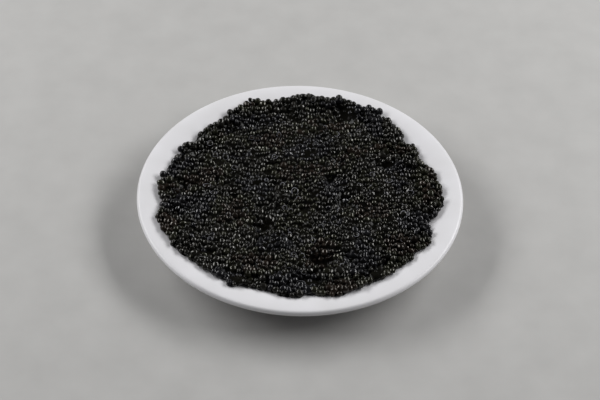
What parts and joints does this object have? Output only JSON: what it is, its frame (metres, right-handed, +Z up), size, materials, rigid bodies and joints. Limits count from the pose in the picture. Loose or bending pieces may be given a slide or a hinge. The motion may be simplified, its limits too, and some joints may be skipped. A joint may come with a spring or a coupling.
{
  "type": "dish of caviar",
  "caption": "Small round white porcelain dish heaped nearly to its rim with a flat-topped, knobbly mound of black caviar.",
  "frame": {"origin": "centre of the dish's foot, on the surface that the dish stands on", "axes": "+Z up out of the dish, -Y towards the front of the picture, +X to its right"},
  "size_m": [0.15, 0.15, 0.0205],
  "materials": {
    "porcelain": "smooth white gloss glaze",
    "caviar": "wet, glossy, black with olive, brown and slate tints"
  },
  "bodies": {
    "root": {"dish": "porcelain", "caviar": "caviar"}
  },
  "joints": []
}
